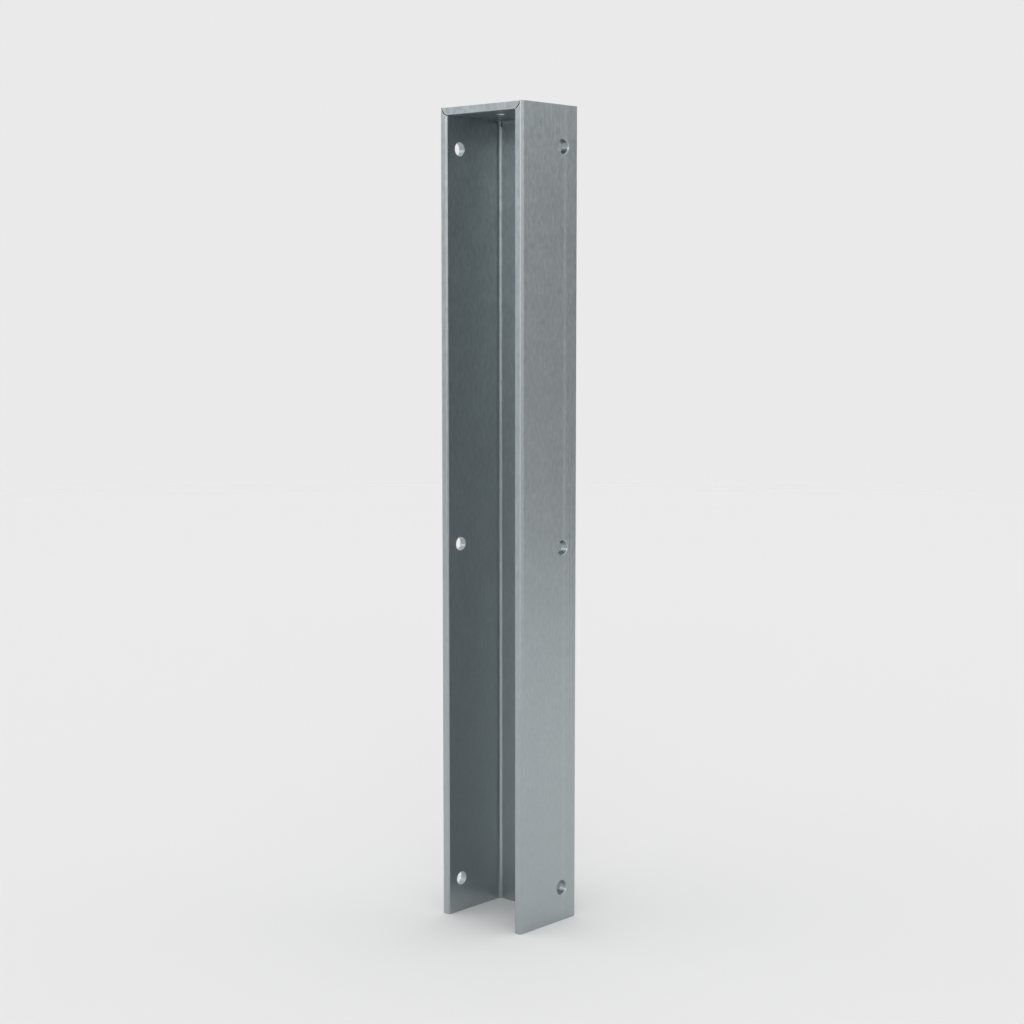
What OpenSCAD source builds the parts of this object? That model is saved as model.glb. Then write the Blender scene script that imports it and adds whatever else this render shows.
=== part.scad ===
// Steel stud: a short upright channel folded from one thick galvanised sheet.
// Three folds shape it. Two long ones turn the flanges forward from the web, and a
// short one at the top turns the cap forward over the open end. The cap's curved
// ends sit in hollows cut along the tops of the flanges.
// The stud stands on its lower end. X runs across the web, the open side faces -Y,
// Z is up, and the origin is under the middle of the section, on the floor.

/* [Channel] */
// Height of the stud, floor to the top of the cap
stud_h = 500; // [300:10:1200]
// Width across the outside of the two flanges
stud_w = 65; // [54:1:120]
// Depth from the back of the web to the free edges
stud_d = 52.5; // [44:0.5:100]
// Thickness of the sheet
sheet_t = 5; // [3:0.5:6]
// Radius inside every fold
fold_in_r = 2.5; // [1:0.5:4]
// Radius outside every fold, pressed tight
fold_out_r = 2.5; // [1:0.5:4]

/* [Free edges] */
// Length of the dressed strip on the outer face behind each free edge
outer_strip = 2.8; // [1.5:0.1:5]
// Depth taken off the outer face at the edge by dressing it
strip_depth = 0.3; // [0.1:0.05:0.35]
// Width of the 45 degree chamfer inside each flange's free edge
inner_chamfer = 0.8; // [0.2:0.1:1.2]
// Width of the 45 degree chamfer under the cap's front edge
cap_chamfer = 0.5; // [0.2:0.1:1.2]

/* [Cap] */
// Thickness left at the top of each flange outside its hollow
seam_lip = 0.4; // [0.4:0.1:1]
// How much larger the hollow's radius is than the sheet's thickness
seam_gap = 0.4; // [0.3:0.1:1.5]
// How much larger the radius of the cap's ends is than the sheet's thickness
cap_end_extra = 3; // [1:0.5:6]
// Opening beside the cap's left end, at the top
cap_gap_left = 0.3; // [0.2:0.1:1]
// Opening beside the cap's right end, at the top
cap_gap_right = 0.5; // [0.2:0.1:1]
// How far the underside of the cap ends short of the flanges' inner faces
cap_under_gap = 0.2; // [0.2:0.1:1]
// Width of the relief slots at the two ends of the cap's fold
relief_w = 1.2; // [1:0.1:3]
// Depth of the relief slots below the fold
relief_drop = 1; // [0.5:0.5:5]
// Diameter of the hole in the cap
cap_hole_d = 5.5; // [3:0.5:12]
// From the front of the cap to the centre of its hole
cap_hole_setback = 18; // [10:1:26]

/* [Flange holes] */
// Diameter of the holes in the flanges
hole_d = 8.5; // [5:0.5:13]
// Width of the bevel round each hole, on the outer face
hole_bevel = 0.6; // [0.2:0.1:1.5]
// From the free edge to the holes in the left flange
left_hole_setback = 11.5; // [11:0.5:22]
// From the back of the web to the holes in the right flange
right_hole_setback = 14; // [14:0.5:22]
// From the floor to the lowest holes
low_hole_z = 21; // [15:1:60]
// From the floor to the middle holes
middle_hole_z = 234; // [100:1:240]
// From the top of the cap to the highest holes
high_hole_drop = 24.5; // [21:0.5:32]

/* [Hidden] */
$fn = 96;
// How far a cutting shape runs past the face that it cuts
cut_past = 1;
half_w = stud_w / 2;
inner_half_w = half_w - sheet_t;
front_y = -stud_d / 2;
back_y = stud_d / 2;
web_inner_y = back_y - sheet_t;
// The cap's fold ends where the flanges' own folds begin
fold_half_len = inner_half_w - fold_in_r;
fold_start_y = web_inner_y - fold_in_r;
relief_depth = sheet_t + fold_in_r + relief_drop;
hollow_r = sheet_t + seam_gap;
cap_end_r = sheet_t + cap_end_extra;
hole_heights = [low_hole_z, middle_hole_z, stud_h - high_hole_drop];

// A block below and left of the origin, with its one corner there rounded
module corner_block(across, down, r) {
    translate([-across, -down]) square([across, down - r]);
    translate([-across, -down]) square([across - r, down]);
    translate([-r, -r]) circle(r = r);
}

// Section through a fold: the outer faces meet at the origin, one leg runs to -X
// and the other to -Y
module fold_profile(across, down) {
    difference() {
        corner_block(across, down, fold_out_r);
        translate([-sheet_t, -sheet_t]) corner_block(across, down, fold_in_r);
    }
}

// The end of a flange at its free edge, dressed outside and chamfered inside
module flange_tip() {
    tip_y = front_y + outer_strip;
    polygon([
        [inner_half_w, tip_y],
        [inner_half_w, front_y + inner_chamfer],
        [inner_half_w + inner_chamfer, front_y],
        [half_w - strip_depth, front_y],
        [half_w, tip_y],
    ]);
}

// One half of the channel's section, from the middle of the web to the right edge
module half_section() {
    translate([half_w, back_y]) fold_profile(half_w, stud_d - outer_strip);
    flange_tip();
}

// Flanges and web, to the full height
module channel() {
    linear_extrude(height = stud_h) {
        half_section();
        mirror([1, 0]) half_section();
    }
}

// Lays a profile drawn in X and Z along the depth of the stud, from y0 to y1
module along_depth(y0, y1) {
    translate([0, y1, 0]) rotate([90, 0, 0]) linear_extrude(height = y1 - y0) children();
}

// Lays a profile drawn in Y and Z across the stud, x0 to x1
module across_width(x0, x1) {
    translate([x0, 0, 0]) rotate([90, 0, 90]) linear_extrude(height = x1 - x0) children();
}

// What is cut out of the flanges' tops for the cap's ends, short of the back corners
module flange_hollows() {
    along_depth(front_y - cut_past, fold_start_y + relief_w)
        for (side = [-1, 1])
            translate([side * (half_w - seam_lip - hollow_r), stud_h]) circle(r = hollow_r);
}

// The top of the web, cleared for the cap's fold
module web_top_clearance() {
    across_width(-fold_half_len, fold_half_len)
        translate([fold_start_y, stud_h - relief_depth])
            square([stud_d, relief_depth + cut_past]);
}

// A disc whose arc runs from the end of the cap's underside, at x = 0, up and out to
// the end of its top face
module cap_end_disc(overhang) {
    chord = sqrt(overhang^2 + sheet_t^2);
    to_centre = sqrt(cap_end_r^2 - chord^2 / 4) / chord;
    translate([overhang / 2 - sheet_t * to_centre, sheet_t / 2 + overhang * to_centre])
        circle(r = cap_end_r);
}

// The cap's section from left to right: a plate with curved ends, wider at its top
module cap_profile() {
    under_half = inner_half_w - cap_under_gap;
    top_half = half_w - seam_lip;
    translate([0, stud_h - sheet_t])
        intersection() {
            union() {
                translate([-under_half, 0]) square([2 * under_half, sheet_t]);
                translate([under_half, 0]) cap_end_disc(top_half - cap_gap_right - under_half);
                mirror([1, 0]) translate([under_half, 0])
                    cap_end_disc(top_half - cap_gap_left - under_half);
            }
            translate([-half_w, 0]) square([stud_w, sheet_t]);
        }
}

// The cap, with the fold that joins it to the web
module cap() {
    along_depth(front_y, fold_start_y) cap_profile();
    across_width(-fold_half_len, fold_half_len)
        translate([back_y, stud_h]) fold_profile(stud_d, relief_depth);
}

// What is dressed off the top of the cap's front edge, and the chamfer under it
module cap_edge_dressing() {
    past_y = front_y - cut_past;
    underside_z = stud_h - sheet_t;
    across_width(-half_w, half_w) {
        polygon([
            [past_y, stud_h - strip_depth * (1 + cut_past / outer_strip)],
            [front_y + outer_strip, stud_h],
            [front_y + outer_strip, stud_h + cut_past],
            [past_y, stud_h + cut_past],
        ]);
        polygon([
            [past_y, underside_z + cap_chamfer + cut_past],
            [front_y + cap_chamfer + cut_past, underside_z - cut_past],
            [past_y, underside_z - cut_past],
        ]);
    }
}

// Round-bottomed slots that free the ends of the cap's fold
module relief_slots() {
    along_depth(fold_start_y, back_y + cut_past)
        for (side = [-1, 1])
            translate([side * (fold_half_len + relief_w / 2), stud_h - relief_depth]) {
                translate([-relief_w / 2, 0]) square([relief_w, relief_depth + cut_past]);
                circle(d = relief_w);
            }
}

// A hole through a face that looks along +Z, bevelled at that face
module bevelled_hole(d, bevel) {
    translate([0, 0, -sheet_t - cut_past]) cylinder(d = d, h = sheet_t + 2 * cut_past);
    translate([0, 0, -bevel])
        cylinder(d1 = d, d2 = d + 2 * (bevel + cut_past), h = bevel + cut_past);
}

module flange_holes() {
    for (z = hole_heights) {
        translate([-half_w, front_y + left_hole_setback, z])
            rotate([0, -90, 0]) bevelled_hole(hole_d, hole_bevel);
        translate([half_w, back_y - right_hole_setback, z])
            rotate([0, 90, 0]) bevelled_hole(hole_d, hole_bevel);
    }
}

module cap_hole() {
    translate([0, front_y + cap_hole_setback, stud_h - sheet_t - cut_past])
        cylinder(d = cap_hole_d, h = sheet_t + 2 * cut_past);
}

module channel_stud() {
    color("#98a0a2")
        difference() {
            union() {
                difference() {
                    channel();
                    flange_hollows();
                    web_top_clearance();
                }
                difference() {
                    cap();
                    cap_edge_dressing();
                }
            }
            relief_slots();
            flange_holes();
            cap_hole();
        }
}

channel_stud();
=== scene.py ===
"""The looks of a short folded steel stud: camera, floor and light, then the stud's galvanised sheet."""
import math

import bpy
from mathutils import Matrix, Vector


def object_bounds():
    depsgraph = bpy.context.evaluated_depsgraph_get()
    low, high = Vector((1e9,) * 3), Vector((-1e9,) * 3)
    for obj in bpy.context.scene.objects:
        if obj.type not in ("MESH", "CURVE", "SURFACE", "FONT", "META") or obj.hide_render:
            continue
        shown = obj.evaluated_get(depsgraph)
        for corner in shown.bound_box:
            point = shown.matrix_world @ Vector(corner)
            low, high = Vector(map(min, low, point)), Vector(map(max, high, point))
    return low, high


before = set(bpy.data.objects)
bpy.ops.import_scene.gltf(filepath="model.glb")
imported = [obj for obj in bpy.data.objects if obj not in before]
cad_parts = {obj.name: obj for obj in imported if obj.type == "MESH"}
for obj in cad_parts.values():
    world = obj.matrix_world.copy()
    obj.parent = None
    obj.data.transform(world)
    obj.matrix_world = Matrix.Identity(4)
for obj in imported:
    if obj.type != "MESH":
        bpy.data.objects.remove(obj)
cad_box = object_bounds()
scene = bpy.context.scene


# ---- Camera ----
# It looks from the right of the open side, three quarters of the way up the stud and tilted down,
# so that the open side, the right flange and the underside of the cap all show.

box_low, box_high = cad_box
box_centre = (box_low + box_high) / 2
camera_lens = 67.5
camera_turn = math.radians(42.05)
camera_tilt = math.radians(5.95)
camera_distance = 1.183
aim_off_centre = Vector((0.0011, 0.0010, 0.0045))

camera_data = bpy.data.cameras.new("stud_camera")
camera_data.lens = camera_lens
camera = bpy.data.objects.new("stud_camera", camera_data)
scene.collection.objects.link(camera)
camera.rotation_euler = (math.radians(90) - camera_tilt, 0, camera_turn)
looking = camera.rotation_euler.to_matrix() @ Vector((0, 0, -1))
camera.location = box_centre + aim_off_centre - looking * camera_distance
scene.camera = camera


# ---- Floor and light ----
# A matt white floor fades into a pale surround, which has a brighter band above the horizon on the
# open side of the stud, as a wide softbox gives. Two soft lamps shine from overhead and from the
# front. Three grey cards out of view give the bare metal its darker tones.

scene.view_settings.view_transform = "Standard"


def linear(hex_colour):
    """The linear colour, with alpha, of an sRGB hex colour such as "#98a0a2"."""
    parts = [int(hex_colour[i:i + 2], 16) / 255 for i in (1, 3, 5)]
    return [p / 12.92 if p <= 0.04045 else ((p + 0.055) / 1.055) ** 2.4 for p in parts] + [1]


def node(tree, kind, settings=(), **links):
    """Adds a node with its settings, and gives its inputs a value or another node's output.

    An input goes by its name, with _ for a space, or by its number, as in _0.
    """
    made = tree.nodes.new(kind)
    for name, value in dict(settings).items():
        setattr(made, name, value)
    for name, value in links.items():
        slot = made.inputs[int(name[1:])] if name[1:].isdigit() else made.inputs[name.replace("_", " ")]
        if isinstance(value, bpy.types.NodeSocket):
            tree.links.new(value, slot)
        else:
            slot.default_value = value
    return made


def new_material(name):
    """An empty material and its node tree."""
    material = bpy.data.materials.new(name)
    material.use_nodes = True
    material.node_tree.nodes.clear()
    return material, material.node_tree


def towards(azimuth, height, distance):
    """The place at a height and a distance from the stud's axis, at an azimuth in degrees from +X."""
    turn = math.radians(azimuth)
    return Vector((distance * math.cos(turn), distance * math.sin(turn), height))


# Where the bright band begins, is full, starts to fade and ends, as elevations in degrees
band_heights = (9, 16, 20, 33)
band_begins, band_full, band_fades, band_ends = (math.sin(math.radians(h)) for h in band_heights)
band_gain = 1.25
front_azimuth = -90
# Where the band has gone and where it is full, as cosines of the angle from straight in front
band_gone_beside = -0.3
band_full_beside = 0.5

world = bpy.data.worlds.new("pale_surround")
scene.world = world
world.use_nodes = True
tree = world.node_tree
tree.nodes.clear()
direction = node(tree, "ShaderNodeTexCoord")
height = node(tree, "ShaderNodeSeparateXYZ", Vector=direction.outputs["Generated"])
rise = node(tree, "ShaderNodeMapRange", {"interpolation_type": "SMOOTHSTEP"}, Value=height.outputs["Z"],
            From_Min=band_begins, From_Max=band_full, To_Max=band_gain)
fall = node(tree, "ShaderNodeMapRange", {"interpolation_type": "SMOOTHSTEP"}, Value=height.outputs["Z"],
            From_Min=band_fades, From_Max=band_ends, To_Min=1.0, To_Max=0.0)
ring = node(tree, "ShaderNodeMath", {"operation": "MULTIPLY"}, _0=rise.outputs[0], _1=fall.outputs[0])
ahead = node(tree, "ShaderNodeVectorMath", {"operation": "DOT_PRODUCT"}, _0=direction.outputs["Generated"],
             _1=towards(front_azimuth, 0, 1))
front_half = node(tree, "ShaderNodeMapRange", {"interpolation_type": "SMOOTHSTEP"},
                  Value=ahead.outputs["Value"], From_Min=band_gone_beside, From_Max=band_full_beside)
band = node(tree, "ShaderNodeMath", {"operation": "MULTIPLY_ADD"}, _0=ring.outputs[0],
            _1=front_half.outputs[0], _2=1.0)
pale = node(tree, "ShaderNodeBackground", Color=linear("#eaeaea"), Strength=band.outputs[0])
node(tree, "ShaderNodeOutputWorld", Surface=pale.outputs[0])

# The floor's matt white paint has no gloss, and thins out to nothing well away from the stud.
floor_radius = 6
floor_thins_from = 1.2
floor_gone_by = 4.0
bpy.ops.object.select_all(action="DESELECT")
bpy.ops.mesh.primitive_circle_add(vertices=96, radius=floor_radius, fill_type="NGON", location=(0, 0, 0))
floor = bpy.context.object
floor.name = "floor"
floor_paint, tree = new_material("matt_white_floor")
place = node(tree, "ShaderNodeTexCoord")
away = node(tree, "ShaderNodeVectorMath", {"operation": "LENGTH"}, Vector=place.outputs["Object"])
fade = node(tree, "ShaderNodeMapRange", {"interpolation_type": "SMOOTHSTEP"}, Value=away.outputs["Value"],
            From_Min=floor_thins_from, From_Max=floor_gone_by)
paint = node(tree, "ShaderNodeBsdfDiffuse", Color=linear("#ebebeb"))
beyond = node(tree, "ShaderNodeBsdfTransparent")
surface = node(tree, "ShaderNodeMixShader", _0=fade.outputs["Result"], _1=paint.outputs[0],
               _2=beyond.outputs[0])
node(tree, "ShaderNodeOutputMaterial", Surface=surface.outputs[0])
floor.data.materials.append(floor_paint)


def soft_lamp(name, azimuth, elevation, energy, width):
    """A distant soft lamp, with its direction and how wide it looks in degrees."""
    lamp_data = bpy.data.lights.new(name, "SUN")
    lamp_data.energy = energy
    lamp_data.angle = math.radians(width)
    lamp = bpy.data.objects.new(name, lamp_data)
    scene.collection.objects.link(lamp)
    source = towards(azimuth, math.tan(math.radians(elevation)), 1)
    lamp.rotation_euler = source.to_track_quat("Z", "Y").to_euler()


soft_lamp("overhead_soft", azimuth=180, elevation=70, energy=0.25, width=110)
soft_lamp("front_soft", azimuth=-48, elevation=22, energy=0.25, width=32)


def grey_card(name, azimuths, distance, height, grey):
    """An evenly grey card that stands on the floor out of view and shows only in the metal."""
    bpy.ops.mesh.primitive_plane_add(size=1, location=(0, 0, 0))
    card = bpy.context.object
    card.name = name
    for vertex, azimuth, level in zip(card.data.vertices, azimuths * 2, (0, 0, height, height)):
        vertex.co = towards(azimuth, level, distance)
    paint, tree = new_material(name)
    glow = node(tree, "ShaderNodeEmission", Color=linear(grey))
    node(tree, "ShaderNodeOutputMaterial", Surface=glow.outputs[0])
    card.data.materials.append(paint)
    card.visible_camera = False
    card.visible_diffuse = False
    card.visible_shadow = False


grey_card("grey_card_behind", azimuths=(42, 85), distance=1.6, height=0.7, grey="#959595")
grey_card("grey_card_before", azimuths=(-80, -15), distance=1.7, height=0.3, grey="#959595")
grey_card("grey_card_left", azimuths=(-175, -90), distance=1.7, height=0.42, grey="#dadada")


# ---- Stud ----
# One thick sheet of hot-dip galvanised steel, sheared, drilled and folded in a press brake. The
# zinc has dulled to a soft grey, part bare metal and part matt patina, so it shines softly. It keeps
# the sheet's rolling grain and a die line from the folding. Painted highlights lie along its free
# edges, on the dressed strips beside them and in the cap's hole.

mm = 0.001
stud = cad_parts["channel_stud"]
sheet, tree = new_material("galvanised_sheet")
place = node(tree, "ShaderNodeTexCoord")
where = node(tree, "ShaderNodeSeparateXYZ", Vector=place.outputs["Object"])
facing = node(tree, "ShaderNodeSeparateXYZ", Vector=place.outputs["Normal"])

# The grain runs up the stud. The cap is folded over from the web, so there it runs from front to
# back. Real grain is about 0.1 mm wide, and it is drawn coarser so that it shows.
grain_across = 1.8 * mm
grain_along = 4.5 * mm
least_level = 0.7            # the upright part of a unit normal, past which a face is the cap's
upright = node(tree, "ShaderNodeMapping", Vector=place.outputs["Object"],
               Scale=(1 / grain_across, 1 / grain_across, 1 / grain_along))
over = node(tree, "ShaderNodeMapping", Vector=place.outputs["Object"],
            Scale=(1 / grain_across, 1 / grain_along, 1 / grain_across))
level = node(tree, "ShaderNodeMath", {"operation": "ABSOLUTE"}, _0=facing.outputs["Z"])
is_cap = node(tree, "ShaderNodeMath", {"operation": "GREATER_THAN"}, _0=level.outputs[0],
              _1=least_level)
grain_place = node(tree, "ShaderNodeMix", {"data_type": "VECTOR"}, _0=is_cap.outputs[0],
                   _4=upright.outputs[0], _5=over.outputs[0])
grain = node(tree, "ShaderNodeTexNoise", Vector=grain_place.outputs[1], Scale=1.0, Detail=2.0,
             Roughness=0.5)

# Patina lies over the grain in clouds. It is patchy at the top and nearly even by the floor.
cloud_size = 12 * mm
grain_share = 0.7
patchy_at_floor = 0.2
even_shade = 0.5
dull_zinc = linear("#858d91")
pale_zinc = linear("#c5cdcf")
clouds = node(tree, "ShaderNodeTexNoise", Vector=place.outputs["Object"], Scale=1 / cloud_size,
              Detail=3.0, Roughness=0.5)
shade = node(tree, "ShaderNodeMix", {"data_type": "FLOAT"}, _0=grain_share, _2=clouds.outputs[0],
             _3=grain.outputs[0])
patchy = node(tree, "ShaderNodeMapRange", Value=where.outputs["Z"], From_Min=0.0, From_Max=box_high.z,
              To_Min=patchy_at_floor, To_Max=1.0)
patina = node(tree, "ShaderNodeMix", {"data_type": "FLOAT"}, _0=patchy.outputs[0], _2=even_shade,
              _3=shade.outputs[0])
zinc = node(tree, "ShaderNodeMix", {"data_type": "RGBA"}, _0=patina.outputs[0], _6=dull_zinc,
            _7=pale_zinc)

# The die's shoulder rubbed the outer face of each flange a little way in front of the fold, and
# left a soft line that is slightly paler and rougher.
die_line_from_back = 12.5 * mm
die_line_reach = 2 * mm
die_line_pale = 0.06
die_line_rough = 0.08
close_by = 0.1 * mm          # how near a surface a point counts as on it
behind = node(tree, "ShaderNodeMath", {"operation": "SUBTRACT"}, _0=where.outputs["Y"],
              _1=box_high.y - die_line_from_back)
off_line = node(tree, "ShaderNodeMath", {"operation": "ABSOLUTE"}, _0=behind.outputs[0])
line = node(tree, "ShaderNodeMapRange", {"interpolation_type": "SMOOTHSTEP"}, Value=off_line.outputs[0],
            From_Min=0.0, From_Max=die_line_reach, To_Min=1.0, To_Max=0.0)
across = node(tree, "ShaderNodeMath", {"operation": "ABSOLUTE"}, _0=where.outputs["X"])
outside = node(tree, "ShaderNodeMath", {"operation": "GREATER_THAN"}, _0=across.outputs[0],
               _1=box_high.x - close_by)
die_line = node(tree, "ShaderNodeMath", {"operation": "MULTIPLY"}, _0=line.outputs[0],
                _1=outside.outputs[0])

# A painted highlight lies along the free edges. It is full near the top and fades out lower down.
# An edge is where the rounded normal leaves the flat one.
edge_round = 0.5 * mm
edge_begins = 0.1
edge_full = 0.45
free_edge_depth = 4 * mm
edge_highlight_gone_below = 120 * mm
edge_highlight_full_above = 260 * mm
rounded = node(tree, "ShaderNodeBevel", {"samples": 8}, Radius=edge_round)
flat = node(tree, "ShaderNodeNewGeometry")
turned = node(tree, "ShaderNodeVectorMath", {"operation": "DISTANCE"}, _0=rounded.outputs[0],
              _1=flat.outputs["Normal"])
corner = node(tree, "ShaderNodeMapRange", Value=turned.outputs["Value"], From_Min=edge_begins,
              From_Max=edge_full)
in_front = node(tree, "ShaderNodeMath", {"operation": "LESS_THAN"}, _0=where.outputs["Y"],
                _1=box_low.y + free_edge_depth)
free_edge = node(tree, "ShaderNodeMath", {"operation": "MULTIPLY"}, _0=corner.outputs[0],
                 _1=in_front.outputs[0])
edge_highlight_by_height = node(tree, "ShaderNodeMapRange", Value=where.outputs["Z"], From_Min=edge_highlight_gone_below,
                   From_Max=edge_highlight_full_above)
painted_edge_highlight = node(tree, "ShaderNodeMath", {"operation": "MULTIPLY"}, _0=free_edge.outputs[0],
                   _1=edge_highlight_by_height.outputs[0])

# Beside each free edge the outer face has a dressed strip, where it slopes inwards. Near the top
# the strip is painted paler, a painted highlight for the light it catches there.
strip_depth = 2.8 * mm
strip_slope = 0.35 * mm
strip_highlight_gone_below = 300 * mm
strip_highlight_full_above = 480 * mm
strip_highlight = 0.26
# One pale colour serves both the real die line and the painted highlights.
die_line_and_highlight_pale = linear("#eff2f3")
beside_edge = node(tree, "ShaderNodeMath", {"operation": "LESS_THAN"}, _0=where.outputs["Y"],
                   _1=box_low.y + strip_depth)
outermost = node(tree, "ShaderNodeMath", {"operation": "GREATER_THAN"}, _0=across.outputs[0],
                 _1=box_high.x - strip_slope)
on_strip = node(tree, "ShaderNodeMath", {"operation": "MULTIPLY"}, _0=beside_edge.outputs[0],
                _1=outermost.outputs[0])
strip_highlight_by_height = node(tree, "ShaderNodeMapRange", Value=where.outputs["Z"], From_Min=strip_highlight_gone_below,
                  From_Max=strip_highlight_full_above, To_Max=strip_highlight)
painted_highlights = node(tree, "ShaderNodeMath", {"operation": "MULTIPLY_ADD"}, _0=on_strip.outputs[0],
              _1=strip_highlight_by_height.outputs[0], _2=painted_edge_highlight.outputs[0])
# The die line and the painted highlights are mixed in towards that pale colour.
die_line_and_highlights = node(tree, "ShaderNodeMath", {"operation": "MULTIPLY_ADD"}, _0=die_line.outputs[0],
              _1=die_line_pale, _2=painted_highlights.outputs[0])
zinc_line_and_highlights = node(tree, "ShaderNodeMix", {"data_type": "RGBA"}, _0=die_line_and_highlights.outputs[0], _6=zinc.outputs[2],
              _7=die_line_and_highlight_pale)

# The cap hole's wall is painted near white, a painted highlight for the light that falls into it from
# above.
cap_hole_from_front = 18 * mm
cap_hole_radius = 2.75 * mm
painted_hole_highlight = linear("#f6f7f7")
from_hole = node(tree, "ShaderNodeMapping", Vector=place.outputs["Object"],
                 Location=(0, -box_low.y - cap_hole_from_front, 0), Scale=(1, 1, 0))
off_axis = node(tree, "ShaderNodeVectorMath", {"operation": "LENGTH"}, Vector=from_hole.outputs[0])
on_hole_wall = node(tree, "ShaderNodeMath", {"operation": "LESS_THAN"}, _0=off_axis.outputs["Value"],
               _1=cap_hole_radius + close_by)
colour = node(tree, "ShaderNodeMix", {"data_type": "RGBA"}, _0=on_hole_wall.outputs[0],
              _6=zinc_line_and_highlights.outputs[2], _7=painted_hole_highlight)

# The grain changes the gloss a little and stands slightly proud. Bare metal is most of the surface,
# and the patina that covers the rest is matt.
grain_depth = 0.012 * mm
grain_strength = 0.1
bare_share = 0.85
rough = node(tree, "ShaderNodeMapRange", Value=grain.outputs[0], From_Min=0.25, From_Max=0.75,
             To_Min=0.28, To_Max=0.32)
rough_line = node(tree, "ShaderNodeMath", {"operation": "MULTIPLY_ADD"}, _0=die_line.outputs[0],
                  _1=die_line_rough, _2=rough.outputs[0])
relief = node(tree, "ShaderNodeBump", Strength=grain_strength, Distance=grain_depth,
              Height=grain.outputs[0], Normal=rounded.outputs[0])
shader = node(tree, "ShaderNodeBsdfPrincipled", Base_Color=colour.outputs[2], Metallic=bare_share,
              Roughness=rough_line.outputs[0], Normal=relief.outputs[0])
node(tree, "ShaderNodeOutputMaterial", Surface=shader.outputs[0])
stud.data.materials[0] = sheet
